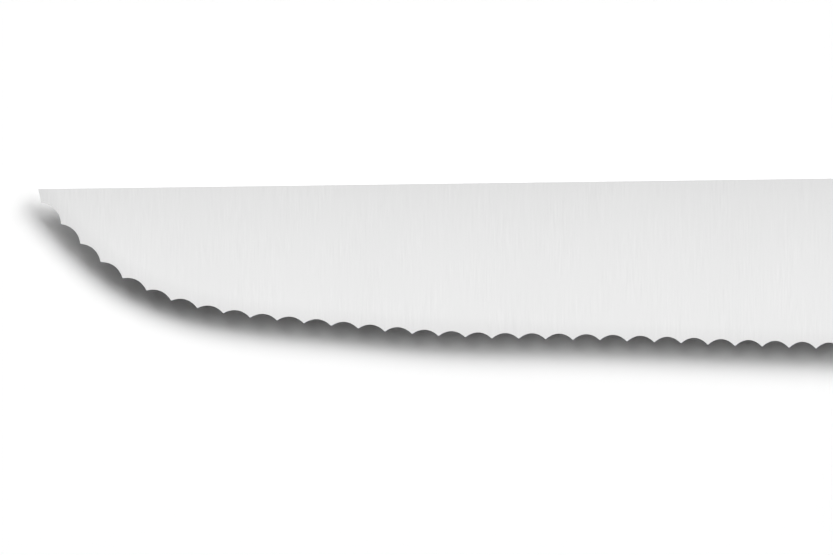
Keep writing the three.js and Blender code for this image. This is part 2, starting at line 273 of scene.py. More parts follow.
class Wire:
    """A node's socket that takes part in Python expressions: each operator adds the node for it."""

    def __init__(self, socket):
        self.socket = socket
        self.tree = socket.id_data

    @classmethod
    def make(cls, tree, kind, settings=None, sockets=None, output=0):
        """Adds a node of any kind: its settings, then the values or links of its sockets."""
        node = tree.nodes.new(kind)
        for name, value in (settings or {}).items():
            if name == "stops":
                fill_ramp(node.color_ramp, value)
            else:
                setattr(node, name, value)
        for key, value in (sockets or {}).items():
            if isinstance(key, int):
                entry = node.inputs[key]
            else:
                entry = next(s for s in node.inputs if s.name == key and s.enabled)
            for item in value if isinstance(value, list) else [value]:
                if isinstance(item, Wire):
                    tree.links.new(item.socket, entry)
                else:
                    entry.default_value = item
        return cls(node.outputs[output]) if node.outputs else node

    @classmethod
    def work(cls, operation, *terms):
        """One step of arithmetic on numbers, vectors or colours."""
        wires = [term for term in terms if isinstance(term, Wire)]
        tree = wires[0].tree
        types = {wire.socket.type for wire in wires}
        if "RGBA" in types:
            first, second = (t if isinstance(t, Wire) else (t, t, t, 1) for t in terms)
            # Of the Mix node's sockets, 0 is the factor, and 6, 7 and output 2 are those for colours.
            settings = {"data_type": "RGBA", "blend_type": operation}
            return cls.make(tree, "ShaderNodeMix", settings, {0: 1.0, 6: first, 7: second}, 2)
        kind = "ShaderNodeMath"
        if "VECTOR" in types:
            kind = "ShaderNodeVectorMath"
            terms = [(t, t, t) if isinstance(t, (int, float)) else t for t in terms]
        return cls.make(tree, kind, {"operation": operation}, dict(enumerate(terms)))

    def out(self, name):
        """Another output of the same node."""
        return Wire(self.socket.node.outputs[name])

    def __add__(self, other):
        return Wire.work("ADD", self, other)

    def __radd__(self, other):
        return Wire.work("ADD", other, self)

    def __sub__(self, other):
        return Wire.work("SUBTRACT", self, other)

    def __rsub__(self, other):
        return Wire.work("SUBTRACT", other, self)

    def __mul__(self, other):
        return Wire.work("MULTIPLY", self, other)

    def __rmul__(self, other):
        return Wire.work("MULTIPLY", other, self)

    def __truediv__(self, other):
        return Wire.work("DIVIDE", self, other)

    def __rtruediv__(self, other):
        return Wire.work("DIVIDE", other, self)

    def __pow__(self, other):
        return Wire.work("POWER", self, other)

    def __rpow__(self, other):
        return Wire.work("POWER", other, self)

    def __gt__(self, other):
        return Wire.work("GREATER_THAN", self, other)

    def __lt__(self, other):
        return Wire.work("LESS_THAN", self, other)


def fill_ramp(ramp, stops):
    """Gives a colour ramp its stops, each a place and a grey level or colour."""
    while len(ramp.elements) < len(stops):
        ramp.elements.new(1.0)
    for element, (place, tone) in zip(ramp.elements, stops):
        element.position = place
        element.color = (*tone, 1) if isinstance(tone, tuple) else (tone, tone, tone, 1)


# Curves and places


def spread(start, end, count):
    """Even steps from a start to an end, both of them included."""
    return [start + (end - start) * i / count for i in range(count + 1)]


def on_arc(centre, radius, degrees):
    angle = math.radians(degrees)
    return Vector((centre[0] + radius * math.cos(angle), centre[1] + radius * math.sin(angle)))


def cubic(a, b, c, d, share):
    """A number or place on the cubic curve with four handles."""
    rest = 1 - share
    return rest ** 3 * a + 3 * rest ** 2 * share * b + 3 * rest * share ** 2 * c + share ** 3 * d


def share_at(a, b, c, d, wanted):
    """Where a rising cubic reaches a value."""
    low, high = 0.0, 1.0
    for _ in range(HALVINGS):
        middle = (low + high) / 2
        if cubic(a, b, c, d, middle) < wanted:
            low = middle
        else:
            high = middle
    return (low + high) / 2


def in_frame(place, height):
    """A place and a height that are measured from the heel, in the frame of the solids."""
    return Vector((*place, height)) + heel


def on_ground(place):
    """A place that is measured from the heel, on the level that the knife lies on."""
    return in_frame(place, -heel.z)


# Outlines, measured from the heel


def edge_handles(allowance):
    """The cubic of the tooth points, or of the blank's edge an allowance outside them."""
    length, height = BLADE_LENGTH + allowance, HEEL_HEIGHT + allowance
    point = Vector((-length, -SPINE_DROP))
    end = Vector((-HEEL_RADIUS, -height))
    point_pull = point + POINT_REACH * Vector((math.cos(POINT_ANGLE), -math.sin(POINT_ANGLE)))
    run = length - BELLY_REACH - HEEL_RADIUS
    return point, point_pull, end + Vector((-run, run * math.tan(HEEL_ANGLE))), end


def tooth_line():
    """Places along the line of the teeth, from the spine to the heel."""
    handles = edge_handles(0.0)
    return [cubic(*handles, step / LINE_STEPS) for step in range(LINE_STEPS + 1)]


def tooth_line_length():
    line = tooth_line()
    return sum((after - before).length for before, after in zip(line, line[1:]))


def tooth_place(distance):
    """A place on the line of the teeth, by its distance along the line."""
    line = tooth_line()
    for before, after in zip(line, line[1:]):
        length = (after - before).length
        if length >= distance:
            return before.lerp(after, distance / length)
        distance -= length
    return line[-1]


def blank_edge_level(x):
    handles = edge_handles(TOOTH_ALLOWANCE)
    share = share_at(*(h.x for h in handles), x)
    fade = min(1.0, max(0.0, (GRIND_ALLOWANCE_END - x) / GRIND_ALLOWANCE_FADE))
    return cubic(*(h.y for h in handles), share) - GRIND_ALLOWANCE * fade * fade * (3 - 2 * fade)


def spine_level(x):
    return -SPINE_DROP * (handle_front - x) / (handle_front + BLADE_LENGTH)


def straight_end():
    """The plain end before the first tooth, from the spine to where its line leaves the blank."""
    tip = Vector((POINT_CUT - BLADE_LENGTH, spine_level(POINT_CUT - BLADE_LENGTH)))
    step = (tooth_place(END_CROSSING) - tip) / END_STEPS
    low = tip + step
    while low.y > blank_edge_level(low.x):
        low += step
    return tip, low


def eased_level(stations, x):
    """A line through stations that runs along the handle at each of them."""
    for (x0, y0), (x1, y1) in zip(stations, stations[1:]):
        if x <= x1:
            middle = (x0 + x1) / 2
            return cubic(y0, y0, y1, y1, share_at(x0, middle, middle, x1, x))
    return stations[-1][1]


def run_of(line):
    """Places along the handle: the first step is wider than the scales' rounded front."""
    start, end = line[0][0], line[-1][0]
    steps = [start] + spread(start + corner_step, end, HANDLE_COLUMNS)
    return [Vector((x, eased_level(line, x))) for x in steps]


def handle_columns(shares):
    """Columns of the handle from its front to its butt, with rows at shares of its height: each corner
    of the butt is shared by columns and rows."""
    rows = len(shares) - 1
    butt_top = (handle_butt - BUTT_RADIUS, -BUTT_FALL - BUTT_RADIUS)
    beak = (handle_butt - BEAK_RADIUS, -BUTT_HEIGHT + BEAK_RADIUS)
    tops = run_of(back_line)
    tops += [on_arc(butt_top, BUTT_RADIUS, a) for a in spread(90, 45, CORNER_STEPS)[1:]]
    bottoms = run_of(belly_line)
    bottoms += [on_arc(beak, BEAK_RADIUS, a) for a in spread(-90, -45, CORNER_STEPS)[1:]]
    columns = [[t.lerp(b, share) for share in shares] for t, b in zip(tops, bottoms)]
    corner_rows = rows // 3  # for each of the butt's two corners
    end = [on_arc(butt_top, BUTT_RADIUS, a) for a in spread(45, 0, corner_rows)]
    end += spread(end[-1], Vector((handle_butt, beak[1])), rows - 2 * corner_rows)[1:]
    end += [on_arc(beak, BEAK_RADIUS, a) for a in spread(0, -45, corner_rows)[1:]]
    columns[-1] = end
    return columns


class Patch:
    """A flat outline filled with rows and columns, which can be laid out again inside its own border."""

    def __init__(self):
        self.places = []
        self.columns = []
        self.quads = []

    def add_block(self, columns, joined=None):
        """Adds columns of places from top to bottom, and may join them to a column that is there."""
        ids = []
        for column in columns:
            start = len(self.places)
            self.places.extend(column)
            ids.append(list(range(start, start + len(column))))
        if joined is not None:
            ids.insert(0, joined[: len(ids[0])])
        self.columns.extend(ids)
        for left, right in zip(ids, ids[1:]):
            for row in range(len(left) - 1):
                self.quads.append((left[row + 1], right[row + 1], right[row], left[row]))
        return ids[-1]

    def border(self):
        """The border's places in order, anticlockwise."""
        sides = {(q[i], q[(i + 1) % 4]) for q in self.quads for i in range(4)}
        follow = {a: b for a, b in sides if (b, a) not in sides}
        loop = [min(follow)]
        while follow[loop[-1]] != loop[0]:
            loop.append(follow[loop[-1]])
        return loop

    def moved_in(self, loop, inset_at):
        """The places after the border has moved in, by an inset that may differ along it."""
        places = [place.copy() for place in self.places]
        for before, this, after in zip(loop[-1:] + loop[:-1], loop, loop[1:] + loop[:1]):
            sides = [self.places[this] - self.places[before], self.places[after] - self.places[this]]
            first, second = (Vector((-s.y, s.x)).normalized() for s in sides)
            inset = inset_at(self.places[this])
            places[this] += inset * (first + second) / (1 + first.dot(second))
        fixed = set(loop)
        for column in self.columns:
            held = [row for row, place in enumerate(column) if place in fixed]
            for top, bottom in zip(held, held[1:]):
                start, end = self.places[column[top]], self.places[column[bottom]]
                span = (end - start).length
                for row in range(top + 1, bottom):
                    share = (self.places[column[row]] - start).length / span
                    places[column[row]] = places[column[top]].lerp(places[column[bottom]], share)
        return places


def blank_patch():
    """The stamped blank: the blade's rows end on the heel and on the lower half of the choil."""
    patch = Patch()
    choil = (CHOIL_RADIUS, -FRONT_HEIGHT - CHOIL_RADIUS)
    corner = (-HEEL_RADIUS, -HEEL_HEIGHT - TOOTH_ALLOWANCE + HEEL_RADIUS)
    turn = on_arc(choil, CHOIL_RADIUS, 135)
    top = Vector((turn.x, spine_level(turn.x)))
    last = spread(top, turn, NECK_ROWS)
    last += [on_arc(choil, CHOIL_RADIUS, a) for a in spread(135, 180, CORNER_STEPS)[1:]]
    last += spread(last[-1], on_arc(corner, HEEL_RADIUS, 0), HEEL_ROWS)[1:]
    last += [on_arc(corner, HEEL_RADIUS, a) for a in spread(0, -45, HEEL_CORNER_ROWS)[1:]]
    shares = [(place.y - top.y) / (last[-1].y - top.y) for place in last]
    tip, low = straight_end()
    bottoms = [low]
    bottoms += [Vector((x, blank_edge_level(x))) for x in spread(low.x, corner[0], BLADE_COLUMNS)[1:]]
    bottoms += [on_arc(corner, HEEL_RADIUS, a) for a in spread(-90, -45, HEEL_CORNER_COLUMNS)[1:-1]]
    columns = []
    for bottom in bottoms:
        x = bottom.x - (low.x - tip.x) * (turn.x - bottom.x) / (turn.x - low.x)
        columns.append([Vector((x, spine_level(x))).lerp(bottom, share) for share in shares])
    joined = patch.add_block(columns + [last])
    under_neck = [on_arc(choil, CHOIL_RADIUS, a) for a in spread(135, 90, CORNER_STEPS)[1:]]
    under_neck += [Vector((CHOIL_RADIUS + NECK_LAND / 2, -FRONT_HEIGHT))]
    columns = []
    for bottom in under_neck:
        spine = Vector((bottom.x, spine_level(bottom.x)))
        columns.append(spread(spine, bottom, NECK_ROWS))
    joined = patch.add_block(columns, joined)
    patch.add_block(handle_columns(spread(0, 1, NECK_ROWS)), joined)
    return patch


def scale_patch():
    """The outline of a scale: its outer rows and columns are wider than its rounded edge."""
    patch = Patch()
    edge_row = corner_step / FRONT_HEIGHT
    patch.add_block(handle_columns([0, *spread(edge_row, 1 - edge_row, SCALE_ROWS), 1]))
    return patch


# Levels and edges of the plates


def face_level(place):
    """Half the blade's thickness: a flat grind that runs out on the neck in the curve of its wheel."""
    past = place.x - grind_end
    if past >= RUNOUT_RADIUS:
        return tang_face
    along = fall_along * min(place.x, grind_end)
    if past > 0:
        along += RUNOUT_RADIUS - math.sqrt(RUNOUT_RADIUS ** 2 - past ** 2)
    return tang_face + min(0.0, along + fall_across * place.y)


def ease_at(place):
    """How wide the blank's edges are rounded."""
    if place.x > handle_front:
        return TANG_EASE
    if place.x < -HEEL_RADIUS and place.y < spine_level(place.x) - EDGE_EASE:
        return EDGE_EASE
    fade = min(1.0, (place.x + BLADE_LENGTH - POINT_CUT) / POINT_FADE)
    return EDGE_EASE + (SPINE_EASE - EDGE_EASE) * fade


def eased_profile(place):
    """A quarter circle from the face down to the edge of the blank."""
    width = ease_at(place)
    angles = [math.radians(a) for a in spread(0, 90, EASE_STEPS)]
    return [(width * (1 - math.sin(a)), width * (1 - math.cos(a))) for a in angles]


def rounded_profile(place):
    """A quarter ellipse from a scale's outer face down to its side, alike all round."""
    angles = [math.radians(a) for a in spread(90, 0, SCALE_ROUND_STEPS)]
    return [
        (SCALE_ROUND * (1 - math.cos(a)), SCALE_ROUND_DEPTH * (1 - math.sin(a))) for a in angles
    ]


def seam_profile(place):
    """The broken edge of a scale along the tang, alike all round."""
    return [(SEAM_CHAMFER, 0.0), (0.0, SEAM_CHAMFER)]


def new_piece(name, points, faces):
    mesh = bpy.data.meshes.new(name)
    mesh.from_pydata(points, [], faces)
    mesh.shade_smooth()
    piece = bpy.data.objects.new(name, mesh)
    bpy.context.scene.collection.objects.link(piece)
    return piece


def plate(name, patch, sides):
    """A solid from a patch. Each side has a direction, the level of its face, and a profile that gives,
    for a place on the border, how far in and how far below the face the border lies at each step."""
    loop = patch.border()
    points, faces, rings = [], [], []
    for direction, level, profile in sides:
        side_rings = []
        for step in range(len(profile(patch.places[loop[0]]))):
            places = patch.moved_in(loop, lambda place: profile(place)[step][0])
            start = len(points)
            chosen = range(len(places)) if step == 0 else loop
            for index in chosen:
                drop = profile(patch.places[index])[step][1]
                points.append((*places[index], level(places[index]) - direction * drop))
            if step == 0:
                side_rings.append([start + index for index in loop])
                for quad in patch.quads:
                    corners = [start + index for index in quad]
                    faces.append(corners if direction > 0 else corners[::-1])
            else:
                side_rings.append(list(range(start, start + len(loop))))
        rings.extend(side_rings if direction > 0 else side_rings[::-1])
    for inner, outer in zip(rings, rings[1:]):
        for i in range(len(loop)):
            after = (i + 1) % len(loop)
            faces.append((inner[i], outer[i], outer[after], inner[after]))
    return new_piece(name, [Vector(point) + heel for point in points], faces)


def turned(name, profile):
    """A piece turned about Z from (radius, height) pairs that start and end on the axis."""
    points, faces, rings = [], [], []
    for radius, height in profile:
        start = len(points)
        count = RIVET_SIDES if radius > 0 else 1
        for side in range(count):
            angle = math.tau * side / RIVET_SIDES
            points.append((radius * math.cos(angle), radius * math.sin(angle), height))
        rings.append(list(range(start, start + count)))
    for lower, upper in zip(rings, rings[1:]):
        for side in range(RIVET_SIDES):
            after = (side + 1) % RIVET_SIDES
            corners = [lower[side % len(lower)], lower[after % len(lower)]]
            corners += [upper[after % len(upper)], upper[side % len(upper)]]
            faces.append(list(dict.fromkeys(corners)))
    return new_piece(name, points, faces)


def socket_profile():
    """A rivet's left half: a head with a tube, open to the right."""
    bore = RIVET_PIN_RADIUS + PIN_CLEARANCE
    tube_end = RIVET_PIN_SHORTFALL - rivet_seat
    return [
        (0.0, rivet_seat), (bore, rivet_seat), (bore, tube_end), (RIVET_TUBE_RADIUS, tube_end),
        (RIVET_TUBE_RADIUS, rivet_seat), (RIVET_HEAD_RADIUS, rivet_seat),
        (RIVET_HEAD_RADIUS, scale_face - RIVET_CHAMFER),
        (RIVET_HEAD_RADIUS - RIVET_CHAMFER, scale_face), (0.0, scale_face),
    ]


def pin_profile():
    """A rivet's right half: a head with a solid shank, which ends inside the tube."""
    pin_end = rivet_seat - RIVET_PIN_SHORTFALL
    return [
        (0.0, -scale_face), (RIVET_HEAD_RADIUS - RIVET_CHAMFER, -scale_face),
        (RIVET_HEAD_RADIUS, RIVET_CHAMFER - scale_face), (RIVET_HEAD_RADIUS, -rivet_seat),
        (RIVET_PIN_RADIUS, -rivet_seat), (RIVET_PIN_RADIUS, pin_end), (0.0, pin_end),
    ]


# Geometry trees


def new_tree(name, inputs):
    """An empty geometry tree with named inputs, and the wires that come from them."""
    tree = bpy.data.node_groups.new(name, "GeometryNodeTree")
    tree.interface.new_socket("Geometry", in_out="INPUT", socket_type="NodeSocketGeometry")
    for title, kind in inputs.items():
        tree.interface.new_socket(title, in_out="INPUT", socket_type=f"NodeSocket{kind}")
    tree.interface.new_socket("Geometry", in_out="OUTPUT", socket_type="NodeSocketGeometry")
    entry = Wire.make(tree, "NodeGroupInput")
    return tree, {title: entry.out(title) for title in ("Geometry", *inputs)}


def add_tree(piece, tree, values):
    """Puts a tree on a piece, with the values of its inputs."""
    modifier = piece.modifiers.new(tree.name, "NODES")
    modifier.node_group = tree
    for item in tree.interface.items_tree:
        if item.in_out == "INPUT" and item.name in values:
            modifier[item.identifier] = values[item.name]


def end_tree(tree, shape, materials):
    """Ends a tree in real geometry and its materials, each with the faces that it goes on."""
    shape = Wire.make(tree, "GeometryNodeRealizeInstances", sockets={"Geometry": shape})
    for material, chosen in materials:
        sockets = {"Geometry": shape, "Material": material}
        if chosen is not None:
            sockets["Selection"] = chosen
        shape = Wire.make(tree, "GeometryNodeSetMaterial", sockets=sockets)
    Wire.make(tree, "NodeGroupOutput", sockets={"Geometry": shape})


def kept_crisp(tree, shape, crease):
    """Leaves the edges that are sharper than a crease crisp, on a shape that is smooth elsewhere."""
    sharp = Wire.make(tree, "GeometryNodeInputMeshEdgeAngle") > crease
    return Wire.make(tree, "GeometryNodeSetShadeSmooth", {"domain": "EDGE"}, {
        "Geometry": shape, "Selection": sharp, "Shade Smooth": False,
    })


def at_rivets(tree, given, start, shape):
    """A copy of a shape for each rivet, with the first one at a start."""
    places = Wire.make(tree, "GeometryNodeMeshLine", {"mode": "OFFSET"}, {
        "Count": given["Rivets"], "Start Location": start, "Offset": given["Rivet Step"],
    })
    return Wire.make(tree, "GeometryNodeInstanceOnPoints", sockets={"Points": places, "Instance": shape})


def cylinder(tree, sides, radius, depth):
    return Wire.make(tree, "GeometryNodeMeshCylinder", {"fill_type": "NGON"}, {
        "Vertices": sides, "Radius": radius, "Depth": depth,
    })


def cut(tree, shape, tools):
    settings = {"operation": "DIFFERENCE", "solver": "MANIFOLD"}
    return Wire.make(tree, "GeometryNodeMeshBoolean", settings, {"Mesh 1": shape, "Mesh 2": tools})


def marked(tree, shape, name, domain, value):
    """Writes a value on a shape's points or faces."""
    settings = {"data_type": "FLOAT", "domain": domain}
    return Wire.make(tree, "GeometryNodeStoreNamedAttribute", settings, {
        "Geometry": shape, "Name": name, "Value": value,
    })


def scallop_tree():
    """Grinds the scallops: wheels stand along the line of the teeth and are cut out of the blank."""
    tree, given = new_tree("grind scallops", {
        "Point": "Vector", "Point Pull": "Vector", "Heel Pull": "Vector", "Heel": "Vector",
        "First Hollow": "Float", "Pitch": "Float", "Hollows": "Int", "Sag": "Float",
        "First Bevel": "Float", "Last Bevel": "Float",
        "Sway Height": "Float", "Sway Length": "Float", "Sway Crest": "Float", "Sway Middle": "Float",
        "Sway Spread": "Float",
        "Wheel Radius": "Float", "Wheel Width": "Float", "Wheel Sides": "Int",
        "Face Height": "Float", "Fall Along": "Float", "Fall Across": "Float",
        "Early Shift": "Float", "Early Depth": "Float", "Early Fade": "Float",
        "Wander Along": "Float", "Wander Depth": "Float", "Seed": "Int",
        "Flat Finish": "Material", "Edge Finish": "Material", "Hollow Finish": "Material",
    })
    make = Wire.make
    line = make(tree, "GeometryNodeCurvePrimitiveBezierSegment", {"mode": "POSITION"}, {
        "Resolution": LINE_RESOLUTION, "Start": given["Point"], "Start Handle": given["Point Pull"],
        "End Handle": given["Heel Pull"], "End": given["Heel"],
    })
    stray = {}  # taken from the second output, which is the one for plain numbers
    for draw, way in enumerate(("Wander Along", "Wander Depth")):
        stray[way] = make(tree, "FunctionNodeRandomValue", {"data_type": "FLOAT"}, {
            "Min": 0 - given[way], "Max": given[way], "Seed": given["Seed"] + draw,
        }, 1)
    number = make(tree, "GeometryNodeInputIndex")
    share = number / (given["Hollows"] - 1)
    tooth = number + 0.5  # a hollow lies halfway between two teeth
    fade = ((tooth - given["Sway Middle"]) / given["Sway Spread"]) ** 2
    turns = (tooth - given["Sway Crest"]) / given["Sway Length"]
    sway = given["Sway Height"] * Wire.work("COSINE", turns * math.tau) / Wire.work("EXPONENT", fade)
    early = 1 / Wire.work("EXPONENT", number / given["Early Fade"])
    distance = given["First Hollow"] + number * given["Pitch"] + stray["Wander Along"]
    distance = distance - early * given["Early Shift"]
    along = make(tree, "GeometryNodeSampleCurve", {"mode": "LENGTH", "use_all_curves": True}, {
        "Curves": line, "Length": distance,
    }, "Tangent")
    inward = Wire.work("CROSS_PRODUCT", make(tree, "ShaderNodeCombineXYZ", sockets={2: 1.0}), along)
    bevel = given["First Bevel"] + share * (given["Last Bevel"] - given["First Bevel"])
    depth = given["Sag"] / Wire.work("SINE", bevel) + early * given["Early Depth"]
    hollow = along.out("Position") + inward * (depth + stray["Wander Depth"] - sway)
    apart = make(tree, "ShaderNodeSeparateXYZ", sockets={0: hollow})
    x, y = apart.out("X"), apart.out("Y")
    level = given["Face Height"] + given["Fall Along"] * x + given["Fall Across"] * y
    hollow = make(tree, "ShaderNodeCombineXYZ", sockets={0: x, 1: y, 2: level})
    lean = make(tree, "ShaderNodeCombineXYZ", sockets={2: Wire.work("SINE", bevel)})
    axis = inward * Wire.work("COSINE", bevel) - lean
    centre = hollow - Wire.work("CROSS_PRODUCT", along, axis) * given["Wheel Radius"]
    wheel = cylinder(tree, given["Wheel Sides"], given["Wheel Radius"], given["Wheel Width"])
    wheel = marked(tree, wheel, "hollow", "FACE", 1.0)
    stands = make(tree, "GeometryNodePoints", sockets={"Count": given["Hollows"], "Position": centre})
    turn = make(tree, "FunctionNodeAxesToRotation", {"primary_axis": "Z", "secondary_axis": "X"}, {
        "Primary Axis": axis, "Secondary Axis": along,
    })
    wheels = make(tree, "GeometryNodeInstanceOnPoints", sockets={
        "Points": stands, "Instance": wheel, "Rotation": turn,
    })
    blade = cut(tree, given["Geometry"], wheels)
    in_hollow = make(tree, "GeometryNodeInputNamedAttribute", {"data_type": "FLOAT"}, {"Name": "hollow"})
    # Facets of one hollow flow together, and its borders and the ridges between hollows stay crisp.
    on_flats = in_hollow < HOLLOW_BORDER / 2
    blade = kept_crisp(tree, blade, HOLLOW_CREASE + on_flats * (FLAT_CREASE - HOLLOW_CREASE))
    here = make(tree, "ShaderNodeSeparateXYZ", sockets={0: make(tree, "GeometryNodeInputPosition")})
    flat = make(tree, "ShaderNodeCombineXYZ", sockets={0: here.out("X"), 1: here.out("Y")})
    threads = make(tree, "GeometryNodeCurveToMesh", sockets={"Curve": line})
    gap = make(tree, "GeometryNodeProximity", {"target_element": "EDGES"}, {
        "Geometry": threads, "Sample Position": flat,
    }, "Distance")
    blade = marked(tree, blade, "edge_gap", "POINT", gap)
    facing = make(tree, "ShaderNodeSeparateXYZ", sockets={0: make(tree, "GeometryNodeInputNormal")})
    end_tree(tree, blade, [
        (given["Flat Finish"], None),
        (given["Edge Finish"], Wire.work("ABSOLUTE", facing.out("Z")) < EDGE_FACING),
        (given["Hollow Finish"], in_hollow > HOLLOW_BORDER),
    ])
    return tree


def drill_tree():
    """Drills the stepped rivet holes through a scale, or plain ones through the tang."""
    tree, given = new_tree("drill rivet holes", {
        "First Rivet": "Vector", "Rivet Step": "Vector", "Rivets": "Int", "Shank Radius": "Float",
        "Head Radius": "Float", "Head Shift": "Vector", "Depth": "Float", "Sides": "Int",
        "Finish": "Material",
    })
    shank = cylinder(tree, given["Sides"], given["Shank Radius"], given["Depth"])
    head = cylinder(tree, given["Sides"], given["Head Radius"], given["Depth"])
    drills = [
        at_rivets(tree, given, given["First Rivet"], shank),
        at_rivets(tree, given, given["First Rivet"] + given["Head Shift"], head),
    ]
    shape = kept_crisp(tree, cut(tree, given["Geometry"], drills), FLAT_CREASE)
    end_tree(tree, shape, [(given["Finish"], None)])
    return tree


def rivet_tree():
    """Sets a turned rivet half in each hole."""
    tree, given = new_tree("set rivets", {
        "First Rivet": "Vector", "Rivet Step": "Vector", "Rivets": "Int", "Finish": "Material",
    })
    rivets = at_rivets(tree, given, given["First Rivet"], given["Geometry"])
    rivets = Wire.make(tree, "GeometryNodeRealizeInstances", sockets={"Geometry": rivets})
    end_tree(tree, kept_crisp(tree, rivets, FLAT_CREASE), [(given["Finish"], None)])
    return tree


# Finishes


def new_finish(name):
    material = bpy.data.materials.new(name)
    material.use_nodes = True
    material.node_tree.nodes.clear()
    return material, material.node_tree


def end_finish(tree, sockets):
    shader = Wire.make(tree, "ShaderNodeBsdfPrincipled", sockets=sockets)
    Wire.make(tree, "ShaderNodeOutputMaterial", sockets={"Surface": shader})


def object_place(tree):
    return Wire.make(tree, "ShaderNodeTexCoord", output="Object")


def noise(tree, place, detail):
    return Wire.make(tree, "ShaderNodeTexNoise", {"noise_dimensions": "3D"}, {
        "Vector": place, "Scale": 1.0, "Detail": detail, "Roughness": NOISE_ROUGHNESS,
    })


def grain(tree, lengths, detail, shift=0.0):
    """A noise drawn out to a length along each axis, which a shift makes unlike the others."""
    scale = Vector([1 / length for length in lengths])
    place = Wire.make(tree, "ShaderNodeMapping", {"vector_type": "POINT"}, {
        "Vector": object_place(tree), "Location": Vector((shift,) * 3) - heel * scale, "Scale": scale,
    })
    return noise(tree, place, detail)


def uneven(texture, by):
    """A noise's swing to both sides of nothing."""
    return (texture - NOISE_MIDDLE) * by


def eased(tree, value, start, end, first, last):
    """A level that eases from a first to a last one, while a value goes from a start to an end."""
    return Wire.make(tree, "ShaderNodeMapRange", {"interpolation_type": "SMOOTHSTEP"}, {
        "Value": value, "From Min": start, "From Max": end, "To Min": first, "To Max": last,
    })


def toned(tree, stops, place):
    return Wire.make(tree, "ShaderNodeValToRGB", {"stops": stops}, {0: place})


def bumped(tree, height, depth):
    sockets = {"Height": height, "Distance": depth, "Strength": 1.0}
    return Wire.make(tree, "ShaderNodeBump", sockets=sockets)


def below_spine(tree):
    return heel.y - Wire.make(tree, "ShaderNodeSeparateXYZ", sockets={0: object_place(tree)}).out("Y")


def attribute(tree, name):
    return Wire.make(tree, "ShaderNodeAttribute", {"attribute_name": name}, output="Fac")


def flat_ground_steel():
    """Satin steel, ground from the spine to the edge in fine lines that show more in some patches. Its
    colour carries a painted reflection that lightens from the spine down, and painted shade in a rougher
    band along the edge.
    """
    material, tree = new_finish("flat ground steel")
    fine = grain(tree, FINE_GRIND, detail=1.0)
    broad = grain(tree, BROAD_GRIND, detail=1.0, shift=5.0)
    cloud = grain(tree, FLAT_CLOUD, detail=1.0, shift=11.0)
    patch = grain(tree, GRIND_PATCH, detail=1.0, shift=17.0)
    clear = eased(tree, patch, start=0.35, end=0.65, first=0.25, last=1.0)
    # painted reflection: the colour lightens from the spine towards the edge, as the light falls on the
    # blade
    tone = toned(tree, FLAT_PAINTED_SHEEN_TONES, below_spine(tree) / HEEL_HEIGHT)
    band = eased(tree, attribute(tree, "edge_gap"), start=0.0, end=EDGE_BAND, first=1.0, last=0.0)
    streak = (uneven(fine, by=0.075) + uneven(broad, by=0.02)) * clear
    # painted shade: the colour darkens in the band along the edge as if the edge rolled off; the band's
    # added roughness is real
    shade = 1 + streak + uneven(cloud, by=0.03) - band * BAND_PAINTED_SHADE
    rough = FLAT_ROUGHNESS + uneven(fine, by=0.07) + uneven(cloud, by=0.04)
    end_finish(tree, {
        "Base Color": tone * shade,
        "Metallic": 1.0,
        "Roughness": rough + band * BAND_ROUGHNESS,
        "Normal": bumped(tree, fine * 0.8 + broad * 0.3, GRIND_DEPTH),
    })
    return material


def edge_ground_steel():
    """Steel of the spine and of the tang's edge, ground lengthwise together with the scales."""
    material, tree = new_finish("edge ground steel")
    fine = grain(tree, EDGE_GRIND, detail=2.0, shift=2.0)
    cloud = grain(tree, EDGE_CLOUD, detail=2.0, shift=7.0)
    end_finish(tree, {
        "Base Color": toned(tree, EDGE_TONES, fine * 0.6 + cloud * 0.4),
        "Metallic": 1.0,
        "Roughness": EDGE_ROUGHNESS + uneven(fine, by=0.18) + uneven(cloud, by=0.1),
        "Normal": bumped(tree, fine, EDGE_GRIND_DEPTH),
    })
    return material


def hollow_ground_steel():
    """Steel of the scallops: the wheel's marks run along the edge."""
    material, tree = new_finish("hollow ground steel")
    apart = Wire.make(tree, "ShaderNodeSeparateXYZ", sockets={0: object_place(tree)})
    along = Wire.make(tree, "ShaderNodeCombineXYZ", sockets={
        0: attribute(tree, "edge_gap") / WHEEL_MARK_WIDTH,
        1: apart.out("X") / WHEEL_MARK_LENGTH,
        2: apart.out("Y") / WHEEL_MARK_LENGTH,
    })
    marks = noise(tree, along, detail=2.0)
    cloud = grain(tree, HOLLOW_CLOUD, detail=2.0)
    end_finish(tree, {
        "Base Color": toned(tree, HOLLOW_TONES, marks) * (1 + uneven(cloud, by=0.05)),
        "Metallic": 1.0,
        "Roughness": HOLLOW_ROUGHNESS + marks * MARK_ROUGHNESS,
        "Normal": bumped(tree, marks, GRIND_DEPTH),
    })
    return material


def black_acetal():
    """Satin black acetal, sanded along the handle and polished by use on its rounded edges."""
    material, tree = new_finish("black acetal")
    sanding = grain(tree, HANDLE_SANDING, detail=3.0)
    mottle = grain(tree, HANDLE_MOTTLE, detail=4.0, shift=3.0)
    cloud = grain(tree, HANDLE_CLOUD, detail=2.0, shift=9.0)
    worn = attribute(tree, "rounding")
    rough = ACETAL_ROUGHNESS + uneven(sanding, by=0.22) + uneven(cloud, by=0.14)
    end_finish(tree, {
        "Base Color": toned(tree, ACETAL_TONES, sanding * 0.5 + mottle * 0.25 + cloud * 0.25),
        "Metallic": 0.0,
        "Roughness": rough - worn * WEAR_POLISH,
        "Normal": bumped(tree, sanding * 0.8 + mottle * 0.3, HANDLE_SANDING_DEPTH),
        "IOR": ACETAL_IOR,
    })
    return material


